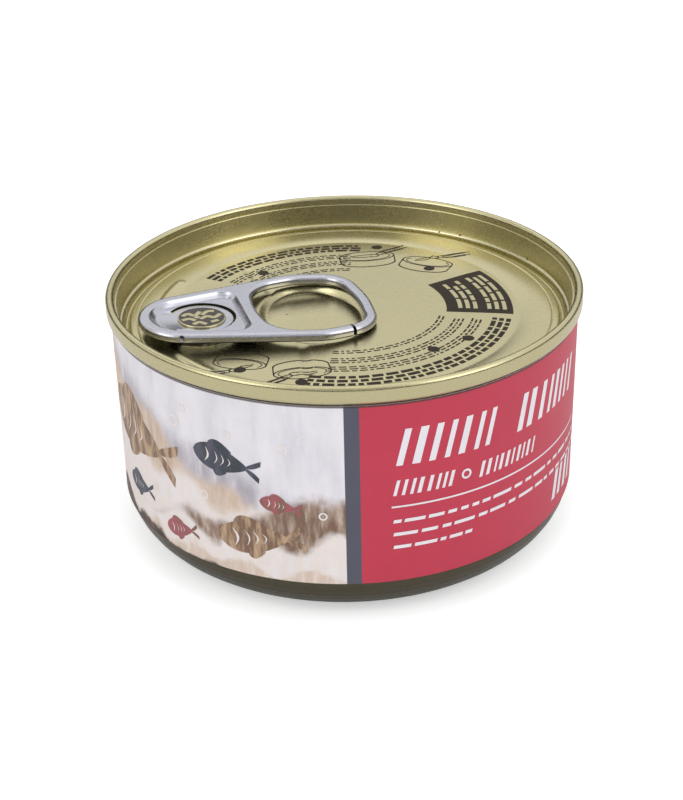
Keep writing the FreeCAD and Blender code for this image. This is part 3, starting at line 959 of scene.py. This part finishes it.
# The sleeve's printed ground: level at the middle, slope, height of the swell, its length, phase,
# softness, colour, streak colour and scale of each wave.
picture = dict(left=-52.0, middle=-26.0, warp=4.0, waves=(
    (25.5, -0.34, 1.0, 21.0, 0.3, 5.5, "shade", "lilac", 0.4),
    (22.8, -0.46, 1.2, 15.0, 1.9, 3.2, "sand", "tan", 0.8),
    (18.6, -0.16, 1.4, 13.0, 0.6, 2.6, "cream", "lilac", 0.7),
    (12.4, 0.30, 1.0, 17.0, 4.2, 2.4, "brown", "sand", 0.7),
    (12.0, 0.04, 1.5, 12.0, 2.4, 1.8, "cream", "lilac", 0.8),
    (8.4, -0.02, 0.8, 9.0, 5.2, 1.0, "sand", "cream", 1.0),
    (7.2, -0.13, 0.5, 11.0, 1.0, 0.8, "deepBrown", "brown", 1.0),
))


def waveShare(tree, along, high, level, slope, swell, length, phase, soft):
    # 1 below a rolling line, fading over a soft edge
    turn = mathNode(tree, "SINE", mathNode(tree, "MULTIPLY_ADD", along, 2 * math.pi / length, phase))
    out = mathNode(tree, "SUBTRACT", along, picture["middle"])
    line = mathNode(tree, "MULTIPLY_ADD", out, slope, level)
    line = mathNode(tree, "MULTIPLY_ADD", turn, swell, line)
    return rampNode(tree, mathNode(tree, "SUBTRACT", line, high), -soft / 2, soft / 2)


def between(tree, value, low, high):
    return mathNode(tree, "MULTIPLY", mathNode(tree, "LESS_THAN", value, high),
                    mathNode(tree, "GREATER_THAN", value, low))


def sleeveMaterial():
    # one printed sheet: picture ground at the left, a slate stripe, and plain pink round the rest, with a
    # painted shadow along its top under the seam
    material = newMaterial("printedSleeve", inks["pink"], 0.0, 0.45)
    tree = material.node_tree
    spot = sleeveMap(tree)
    split = tree.nodes.new("ShaderNodeSeparateXYZ")
    wire(tree, spot, split.inputs[0])
    along, high = split.outputs[0], split.outputs[1]
    fog = mathNode(tree, "SUBTRACT", noiseNode(tree, spot, 0.22, 3, 0.6), 0.5)
    warped = mathNode(tree, "MULTIPLY_ADD", fog, picture["warp"], high)
    ground = streaked(material, "lilac", "mist", 0.25, 0.4, 0.75)
    for *wave, color, streak, scale in picture["waves"]:
        fill = streaked(material, color, streak, scale, 0.40, 0.80)
        ground = mixColor(tree, waveShare(tree, along, warped, *wave), ground, fill)
    stripe = between(tree, along, sleeve["stripeLeft"], sleeve["stripeRight"])
    color = mixColor(tree, stripe, inks["pink"], inks["slate"])
    color = mixColor(tree, between(tree, along, picture["left"], sleeve["stripeLeft"]), color, ground)
    # painted shadow: the sheet darkens towards deep brown just under the seam, standing in for the seam's
    # shadow on the paper
    shade = rampNode(tree, high, sleeveTop - sleeve["paintedShadowLow"], sleeveTop - sleeve["paintedShadowHigh"])
    shade = mathNode(tree, "MULTIPLY", shade, sleeve["paintedShadowShare"])
    return paperFinish(material, mixColor(tree, shade, color, inks["deepBrown"]))


lidMetal = sheetMetal("lacqueredEnd", **metals["lid"])
lid = buildLid(lidMetal)
buildRivet(lidMetal)
buildBody(sheetMetal("lacqueredWall", **metals["wall"]))
buildTab(sheetMetal("tabAluminium", **metals["tab"]), sheetMetal("tabPaintedShade", **metals["under"]))
buildSleeve(sleeveMaterial(), inkMaterial("paperEdge", "white"))
print("main pieces built")
lidSurface = BVHTree.FromObject(lid, bpy.context.evaluated_depsgraph_get())


class InkLayer:
    # thin printed shapes laid on the end's own relief
    def __init__(self, lift):
        self.lift = lift
        self.verts = []
        self.faces = []

    def point(self, x, y):
        hit = lidSurface.ray_cast(Vector((x * mm, y * mm, 1)), Vector((0, 0, -1)))[0]
        self.verts.append((x * mm, y * mm, hit.z + self.lift * mm))
        return len(self.verts) - 1

    def grid(self, place, across, along):
        rows = [[self.point(*place(i / across, j / along)) for j in range(along + 1)]
                for i in range(across + 1)]
        for a, b in zip(rows, rows[1:]):
            for j in range(along):
                self.faces.append((a[j], b[j], b[j + 1], a[j + 1]))

    def sector(self, r0, r1, a0, a1):
        def place(u, v):
            angle = math.radians(a0 + (a1 - a0) * v)
            return polar(r0 + (r1 - r0) * u, angle)
        across = max(1, math.ceil(abs(r1 - r0) / endPrint["finest"]))
        along = max(1, math.ceil(abs(math.radians(a1 - a0)) * r1 / endPrint["finest"]))
        self.grid(place, across, along)

    def disc(self, x, y, radius, inner=0.0):
        def place(u, v):
            dx, dy = polar(inner + (radius - inner) * u, -2 * math.pi * v)
            return x + dx, y + dy
        self.grid(place, max(1, math.ceil((radius - inner) / endPrint["finest"])), endPrint["sides"])

    def stroke(self, points, width):
        for (x0, y0), (x1, y1) in zip(points, points[1:]):
            run = Vector((x1 - x0, y1 - y0))
            side = Vector((-run.y, run.x)).normalized() * (width / 2)
            lead = run.normalized() * (width / 3)

            def place(u, v):
                spot = Vector((x0, y0)) - lead + (run + lead * 2) * v + side * (2 * u - 1)
                return spot.x, spot.y
            self.grid(place, 1, max(1, math.ceil(run.length / endPrint["finest"])))


def dashRow(layer, radius, width, a0, a1, lengths, gap, dice):
    # a row of plain dashes along an arc
    sign = 1 if a1 > a0 else -1
    total = math.radians(abs(a1 - a0)) * radius
    spot = 0.0
    while total - spot > lengths[0]:
        length = min(dice.uniform(*lengths), total - spot)
        start = a0 + sign * math.degrees(spot / radius)
        finish = start + sign * math.degrees(length / radius)
        layer.sector(radius - width / 2, radius + width / 2, start, finish)
        spot += length + gap


# Print on the end. Places are (radius, angle) or (x, y, size, turn, lifted); arcs run between angles.
endPrint = dict(
    seed=4, finest=0.4, sides=28, lifts=(0.014, 0.024, 0.012, 0.02, 0.02),
    bold=dict(rows=(21.85, 22.85, 23.85), width=0.68, lengths=(0.6, 1.9), gap=0.38,
              arcs=((150, 83), (-103, -11))),
    fine=dict(rows=(18.8, 19.4, 20.0, 16.3, 16.9, 17.5, 14.0, 14.6), width=0.28, lengths=(0.3, 1.3),
              gap=0.34, arcs=((149, 86), (-97, -13))),
    badge=dict(inner=14.8, outer=24.4, start=-7, finish=32, rows=(23.2, 22.1, 21.0, 19.0, 17.9, 16.8),
               width=0.6, lengths=(1.2, 3.2), gap=0.5, margin=4.0),
    dots=dict(radius=0.85, places=((23.7, -127), (23.6, -104.5), (23.6, 77), (19.2, 47), (18.5, -49),
                                   (20.2, -32), (18.4, 132))),
    pictograms=((3.6, 19.3, 4.3, 6, 0.0), (13.0, 16.6, 4.0, -22, 1.0),
                (-5.8, -20.2, 3.9, 188, 0.0), (-14.4, -17.2, 3.7, 168, 1.0)),
    specks=dict(radius=0.13, places=((31.9, 60.9), (32.2, 28.8), (8.4, 177.0), (27.5, 201.0))),
    rust=dict(radius=0.2, places=((32.1, 54.3),)), paintedShadeUnderTab=5.9,
)


def handArc(cx, cy, radius, a0, a1, squash=1.0, steps=14):
    arc = []
    for k in range(steps + 1):
        x, y = polar(radius, math.radians(a0 + (a1 - a0) * k / steps))
        arc.append((cx + x, cy + squash * y))
    return arc


def openingPictogram(layer, cx, cy, size, turn, lifted):
    # a can, its tab lying flat or lifted, and a fingertip at the tab
    c, s = math.cos(math.radians(turn)), math.sin(math.radians(turn))

    def draw(points, width=0.19):
        layer.stroke([(cx + (x * c - y * s) * size, cy + (x * s + y * c) * size) for x, y in points], width)
    draw(handArc(0, 0, 1.0, -8, 352, 0.42, 34), 0.2)
    draw(handArc(0, -0.02, 0.84, 150, 395, 0.40, 24), 0.14)
    draw([(-1.0, -0.05), (-0.97, -0.55)])
    draw([(1.0, -0.05), (0.97, -0.55)])
    draw(handArc(0, -0.55, 0.97, 183, 357, 0.42, 16), 0.24)
    rise = 0.5 * lifted
    tabEnd = 0.2 - 0.2 * lifted
    draw([(-0.5, 0.06), (-0.1, 0.13 + 0.6 * rise), (tabEnd, 0.12 + rise)])
    draw([(-0.5, -0.04), (-0.1, -0.08 + 0.5 * rise), (tabEnd, -0.06 + rise)])
    draw(handArc(0.22 - 0.2 * lifted, 0.03 + rise, 0.24, -100, 100, 0.5, 8))
    tip = Vector((0.36 - 0.2 * lifted, 0.10 + rise))
    finger = ((0.95, 0.62), (0.55, 0.40), (0.16, 0.20), (0.02, 0.08),
              (0.06, -0.04), (0.24, 0.0), (0.62, 0.22), (1.05, 0.42))
    for dx, dy in ((0.0, 0.0), (0.16, 0.15)):
        draw([(tip.x + dx + a, tip.y + dy + b) for a, b in finger])


def discs(layer, radius, places):
    for reach, angle in places:
        layer.disc(*polar(reach, math.radians(angle)), radius)


def printEnd():
    dice = random.Random(endPrint["seed"])
    dark, light, shade, dirt, rust = (InkLayer(lift) for lift in endPrint["lifts"])
    for band in (endPrint["bold"], endPrint["fine"]):
        for radius in band["rows"]:
            for a0, a1 in band["arcs"]:
                dashRow(dark, radius, band["width"], a0, a1, band["lengths"], band["gap"], dice)
    badge = endPrint["badge"]
    dark.sector(badge["inner"], badge["outer"], badge["start"], badge["finish"])
    discs(dark, **endPrint["dots"])
    for pictogram in endPrint["pictograms"]:
        openingPictogram(dark, *pictogram)
    for radius in badge["rows"]:
        edge = math.degrees(badge["margin"] / radius) / 3
        dashRow(light, radius, badge["width"], badge["start"] + edge, badge["finish"] - edge,
                badge["lengths"], badge["gap"], dice)
    # painted shade: a dark disc on the panel round the rivet, seen through the slot and under the tab's
    # edges, stands in for the tab's shade
    shade.disc(*polar(tab["rivetX"], math.radians(tab["turn"])), endPrint["paintedShadeUnderTab"])
    discs(dirt, **endPrint["specks"])
    discs(rust, **endPrint["rust"])
    for name, layer, material in (
            ("endInk", dark, inkMaterial("endInkDark", "dark", 0.55, 0.12)),
            ("badgeMarks", light, lidMetal),
            ("paintedShadeUnderTab", shade, sheetMetal("paintedShadeEndMetal", **metals["paintedShadeUnderTab"])),
            ("endSpecks", dirt, inkMaterial("speckDark", "deepBrown", 0.7)),
            ("rustSpot", rust, inkMaterial("rustBrown", "rust", 0.8))):
        addPrint(name, layer.verts, layer.faces, material)


printEnd()
print("end printed")


# Print on the rivet's head: bare strokes across a dark disc, in the tab's frame.
rivetPrint = dict(margin=0.04, sides=48, halfWidth=0.33, steps=5, inkLift=0.008, strokeLift=0.015, strokes=(
    ((-2.6, 0.9), (-1.7, 1.5), (-0.9, 0.7), (0.1, 1.9)),
    ((-2.9, -0.5), (-1.8, -0.2), (-1.1, -1.0)),
    ((-1.6, -2.2), (-0.7, -1.6), (0.2, -2.5)),
    ((0.2, 0.7), (1.1, 1.7), (2.1, 1.6)),
    ((-0.3, -0.6), (0.8, 0.1), (1.7, -0.5), (2.8, 0.5)),
    ((1.0, -1.9), (2.1, -1.5)),
    ((-0.9, -0.2), (-0.4, 0.4)),
))


def smoothPath(points, steps):
    # a smooth line through the points
    line = []
    last = len(points) - 1
    for i in range(last):
        before, a, b, after = points[max(i - 1, 0)], points[i], points[i + 1], points[min(i + 2, last)]
        for k in range(steps):
            t = k / steps
            line.append((a * 2 + (b - before) * t + (before * 2 - a * 5 + b * 4 - after) * t * t
                         + (a * 3 - before - b * 3 + after) * t ** 3) / 2)
    return line + [points[-1]]


def printRivet():
    top = tab["tongueTop"] + tab["headHeight"]
    reach = tab["headRadius"] - tab["headRound"] - rivetPrint["margin"]
    sides = rivetPrint["sides"]
    ring = [(0, 0)] + [polar(reach, 2 * math.pi * k / sides) for k in range(sides)]
    verts = [inMetres(tabToWorld(*spot, top + rivetPrint["inkLift"])) for spot in ring]
    addPrint("rivetInk", verts, [(0, k + 1, (k + 1) % sides + 1) for k in range(sides)],
             inkMaterial("rivetInk", "dark", 0.35))
    verts, faces = [], []
    for path in rivetPrint["strokes"]:
        points = smoothPath([Vector(p) for p in path], rivetPrint["steps"])
        for k, point in enumerate(points):
            ahead = points[min(k + 1, len(points) - 1)] - points[max(k - 1, 0)]
            side = Vector((-ahead.y, ahead.x)).normalized() * rivetPrint["halfWidth"]
            for spot in (point - side, point + side):
                verts.append(inMetres(tabToWorld(*spot, top + rivetPrint["strokeLift"])))
            if k:
                a = len(verts) - 4
                faces.append((a, a + 2, a + 3, a + 1))
    addPrint("rivetMarks", verts, faces, lidMetal)


printRivet()
print("rivet printed")


class SleeveLayer:
    # thin printed shapes wrapped on the sleeve, given in millimetres along and up
    def __init__(self, name, lift, material):
        self.name = name
        self.lift = lift
        self.material = material
        self.verts = []
        self.faces = []
        self.spots = []

    def ribbon(self, pairs):
        # pairs of low and high points; the strip between them is filled
        rows = 4
        start = len(self.verts)
        for (s0, z0), (s1, z1) in pairs:
            for k in range(rows + 1):
                along = s0 + (s1 - s0) * k / rows
                z = z0 + (z1 - z0) * k / rows
                self.verts.append(inMetres(sleevePoint(along, z, self.lift)))
                self.spots.append((along, z))
        for i in range(len(pairs) - 1):
            for k in range(rows):
                a = start + i * (rows + 1) + k
                self.faces.append((a, a + rows + 1, a + rows + 2, a + 1))

    def bar(self, left, right, low, high, slant=0.0):
        steps = max(2, math.ceil((right - left) / 0.6))
        lean = slant * (high - low)
        places = [left + (right - left) * k / steps for k in range(steps + 1)]
        self.ribbon([((place, low), (place + lean, high)) for place in places])

    def disc(self, along, z, radius, inner=0.0):
        steps = 32
        for k0 in (0, steps // 2):
            pairs = []
            for k in range(k0, k0 + steps // 2 + 1):
                a = 2 * math.pi * k / steps
                outerSpot = (along - radius * math.cos(a), z + radius * math.sin(a))
                innerSpot = (along - inner * math.cos(a), z + inner * math.sin(a))
                pairs.append((innerSpot, outerSpot))
            self.ribbon(pairs)

    def finish(self):
        piece = addPrint(self.name, self.verts, self.faces, self.material)
        layer = piece.data.uv_layers.new(name="sleeveMap")
        for loop in piece.data.loops:
            layer.data[loop.index].uv = self.spots[loop.vertex_index]


# Marks on the pink field: slanted bars, dashes and a rule.
sleevePrint = dict(
    seed=11, slant=0.24, lift=0.02,
    title=dict(low=24.6, high=29.9, widths=(0.7, 1.15), gap=1.15, runs=((6.2, 21.6), (24.8, 41.6))),
    subtitle=dict(low=20.1, high=22.4, widths=(0.34, 0.55), gap=0.6, runs=((5.8, 14.0), (18.2, 29.2))),
    plus=dict(along=16.2, z=21.3, radius=0.75, inner=0.45),
    rule=dict(left=5.6, right=43.6, low=18.27, high=18.53),
    lines=dict(rows=((15.9, 46.0), (13.9, 46.5), (11.9, 17.2)), left=5.8, height=0.5,
               widths=(0.8, 3.4), gap=0.55),
    amount=dict(low=9.0, high=13.6, widths=(0.9, 1.3), gap=0.95, runs=((34.6, 43.4),)),
)


def printBars(layer, dice, low, high, widths, gap, runs):
    for left, right in runs:
        spot = left
        while right - spot > widths[0]:
            width = min(dice.uniform(*widths), right - spot)
            layer.bar(spot, spot + width, low, high, sleevePrint["slant"])
            spot += width + gap * dice.uniform(0.75, 1.35)


def fish(layer, marks, along, z, length, height, tilt):
    # a plain fish heading left, with thin pale arcs across it
    c, s = math.cos(math.radians(tilt)), math.sin(math.radians(tilt))
    bodyEnd = length * 0.8

    def place(x, y):
        return along + x * c - y * s, z + x * s + y * c

    def half(t):
        return height / 2 * (math.sin(math.pi * t ** 0.75) ** 0.8 * (1 - 0.10 * t) + 0.13 * t)
    layer.ribbon([(place(bodyEnd * k / 28, -half(k / 28)), place(bodyEnd * k / 28, half(k / 28)))
                  for k in range(29)])
    for side in (-1, 1):
        pairs = []
        for k in range(9):
            t = k / 8
            x = bodyEnd * 0.985 + (length - bodyEnd) * t
            inner, outer = side * height * 0.24 * t * t, side * height * (0.06 + 0.38 * t ** 0.85)
            pairs.append((place(x, min(inner, outer)), place(x, max(inner, outer))))
        layer.ribbon(pairs)
    for start, finish, rise, side in ((0.28, 0.72, 0.16, 1), (0.42, 0.66, 0.13, -1)):
        pairs = []
        for k in range(9):
            t = start + (finish - start) * k / 8
            base = half(t) * 0.9
            tip = base + height * (0.1 + rise * math.sin(math.pi * (k / 8) ** 0.7))
            pairs.append((place(bodyEnd * t, min(side * base, side * tip)),
                          place(bodyEnd * t, max(side * base, side * tip))))
        layer.ribbon(pairs)
    arcs = ((0.24, 0.62, 0.030), (0.42, 0.5, 0.016), (0.54, 0.46, 0.016), (0.66, 0.4, 0.016))
    for spot, reach, width in arcs:
        pairs = []
        for k in range(11):
            y = half(spot) * reach * (2 * k / 10 - 1)
            x = bodyEnd * spot + length * 0.035 * math.cos(math.pi * (k / 10 - 0.5))
            pairs.append((place(x, y), place(x + length * width * math.sin(math.pi * (k + 0.5) / 11), y)))
        marks.ribbon(pairs)


def printSleeve():
    dice = random.Random(sleevePrint["seed"])
    white = SleeveLayer("sleeveWhite", sleevePrint["lift"], inkMaterial("inkWhite", "white"))
    printBars(white, dice, **sleevePrint["title"])
    printBars(white, dice, **sleevePrint["subtitle"])
    white.disc(**sleevePrint["plus"])
    white.bar(**sleevePrint["rule"])
    lines = sleevePrint["lines"]
    for z, right in lines["rows"]:
        printBars(white, dice, z, z + lines["height"], lines["widths"], lines["gap"],
                  ((lines["left"], right),))
    printBars(white, dice, **sleevePrint["amount"])
    white.finish()


printSleeve()


# A plain shoal: place along, height, length, depth and tilt of each fish; bubbles have a radius.
shoal = dict(
    brown=((-45.0, 23.4, 20.0, 8.0, -10), (-18.6, 12.0, 13.0, 4.8, 8)),
    ink=((-22.0, 24.4, 10.5, 3.9, -7), (-39.5, 12.4, 8.0, 3.0, 6)),
    rose=((-28.6, 9.6, 6.6, 2.6, 12), (-12.0, 18.9, 6.0, 2.3, -8)),
    bubbles=((-25.4, 27.4, 0.9), (-23.6, 29.8, 0.6), (-49.0, 27.6, 0.8), (-8.6, 27.0, 0.8),
             (-6.4, 29.2, 0.5), (-31.0, 14.6, 0.6), (-20.6, 17.6, 0.7), (-3.4, 17.4, 0.6),
             (-16.2, 27.9, 0.5)),
    looks=dict(brown=("tan", 0.9), ink=("slate", 0.7), rose=("brown", 0.6)),
    lift=0.02, paleLift=0.035, bubbleHole=0.62,
)


def printPicture():
    ink = inkMaterial("inkPale", "cream", streaks=("lilac", 0.8, 0.4, 0.7))
    pale = SleeveLayer("shoalPale", shoal["paleLift"], ink)
    for name, (streak, scale) in shoal["looks"].items():
        ink = inkMaterial("ink" + name.capitalize(), name, streaks=(streak, scale, 0.42, 0.62))
        layer = SleeveLayer("shoal" + name.capitalize(), shoal["lift"], ink)
        for along, z, length, height, tilt in shoal[name]:
            fish(layer, pale, along, z, length, height, tilt)
        layer.finish()
    for along, z, radius in shoal["bubbles"]:
        pale.disc(along, z, radius, radius * shoal["bubbleHole"])
    pale.finish()


printPicture()
print("sleeve printed")


# The room. Cards and wall are seen only in the metal; lamps have place, aim, size and power.
studio = dict(
    floorHalf=3.0, floorColor=0.78, floorGlow=0.46, roomLight=0.62,
    room=dict(radius=1.3, height=0.46, grey=0.05, panels=48),
    cards=dict(
        backCard=dict(place=(0, 0.62, 1.02), size=(2.0, 0.35), aim=(0, 0, 0.03), grey=0.30),
        frontCard=dict(place=(0, -0.90, 0.86), size=(2.2, 0.95), aim=(0, 0, 0.03), grey=0.50),
        ceilingCard=dict(place=(0, 0.1, 1.6), size=(1.3, 1.0), aim=(0, 0, 0), grey=0.55),
    ),
    lamps=dict(
        topLight=((0.1, 0.35, 1.0), (0, 0, 0), (1.3, 1.0), 2.8),
        leftLight=((-0.75, -0.7, 0.95), (0, 0, 0.02), (1.2, 1.0), 6.0),
        rightLight=((0.8, -0.65, 0.95), (0, 0, 0.02), (1.2, 1.0), 6.2),
    ),
    camera=dict(lens=70.09, sensor=36, place=(0, -0.205856, 0.126548),
                aim=(-0.000751, 0, 0.016820), roll=1.358),
)


def backgroundRays(tree):
    # camera, glossy and transmission rays all see the white background
    path = tree.nodes.new("ShaderNodeLightPath")
    seen = mathNode(tree, "MAXIMUM", path.outputs["Is Camera Ray"], path.outputs["Is Glossy Ray"])
    return mathNode(tree, "MAXIMUM", seen, path.outputs["Is Transmission Ray"])


def addStage(name, verts, faces, grey, roughness):
    material = newMaterial(name + "Grey", (grey, grey, grey), 0.0, roughness)
    thing = newObject(name, verts, faces, material, False)
    return thing


def onlyInMetal(thing):
    thing.visible_camera = False
    thing.visible_diffuse = False
    thing.visible_shadow = False


def square(w, h):
    return [(-w, -h, 0), (w, -h, 0), (w, h, 0), (-w, h, 0)], [(0, 1, 2, 3)]


def aimed(place, aim, axis):
    return (Vector(aim) - Vector(place)).to_track_quat(axis, "Y")


def addCard(name, place, size, aim, grey):
    card = addStage(name, *square(size[0] / 2, size[1] / 2), grey, 1.0)
    card.location = place
    card.rotation_euler = aimed(place, aim, "Z").to_euler()
    onlyInMetal(card)


def addRoomWall(radius, height, grey, panels):
    # the dim room round the table
    verts, faces = [], []
    for k in range(panels):
        x, y = polar(radius, 2 * math.pi * k / panels)
        verts += [(x, y, 0.0), (x, y, height)]
        n = (k + 1) % panels
        faces.append((2 * k, 2 * k + 1, 2 * n + 1, 2 * n))
    onlyInMetal(addStage("roomWall", verts, faces, grey, 1.0))


def addLamp(name, place, aim, size, power):
    data = bpy.data.lights.new(name, "AREA")
    data.shape = "RECTANGLE"
    data.size, data.size_y = size
    data.energy = power
    lamp = bpy.data.objects.new(name, data)
    lamp.location = place
    lamp.rotation_euler = aimed(place, aim, "-Z").to_euler()
    bpy.context.collection.objects.link(lamp)


def addCamera(lens, sensor, place, aim, roll):
    data = bpy.data.cameras.new("camera")
    data.lens = lens
    data.sensor_width = sensor
    camera = bpy.data.objects.new("camera", data)
    turn = aimed(place, aim, "-Z").to_matrix() @ Matrix.Rotation(-math.radians(roll), 3, "Z")
    camera.matrix_world = Matrix.Translation(place) @ turn.to_4x4()
    bpy.context.collection.objects.link(camera)
    bpy.context.scene.camera = camera


def addBackground(tree):
    room = tree.nodes["Background"]
    wire(tree, (1, 1, 1), room.inputs["Color"])
    wire(tree, studio["roomLight"], room.inputs["Strength"])
    white = tree.nodes.new("ShaderNodeBackground")
    wire(tree, (1, 1, 1), white.inputs["Color"])
    mix = tree.nodes.new("ShaderNodeMixShader")
    for slot, source in enumerate((backgroundRays(tree), room.outputs[0], white.outputs[0])):
        wire(tree, source, mix.inputs[slot])
    wire(tree, mix.outputs[0], tree.nodes["World Output"].inputs["Surface"])


def buildStudio():
    floor = addStage("floor", *square(studio["floorHalf"], studio["floorHalf"]), studio["floorColor"], 0.9)
    material = floor.data.materials[0]
    tree = material.node_tree
    seen = tree.nodes.new("ShaderNodeLightPath").outputs["Is Camera Ray"]
    glow = mathNode(tree, "MULTIPLY", seen, studio["floorGlow"])
    wire(tree, glow, shaderInput(material, "Emission Strength"))
    wire(tree, (1, 1, 1), shaderInput(material, "Emission Color"))
    addRoomWall(**studio["room"])
    for name, card in studio["cards"].items():
        addCard(name, **card)
    world = bpy.data.worlds.new("studio")
    bpy.context.scene.world = world
    world.use_nodes = True
    addBackground(world.node_tree)
    for name, lamp in studio["lamps"].items():
        addLamp(name, *lamp)
    addCamera(**studio["camera"])
    bpy.context.scene.view_settings.view_transform = "Standard"


buildStudio()
print("studio ready")
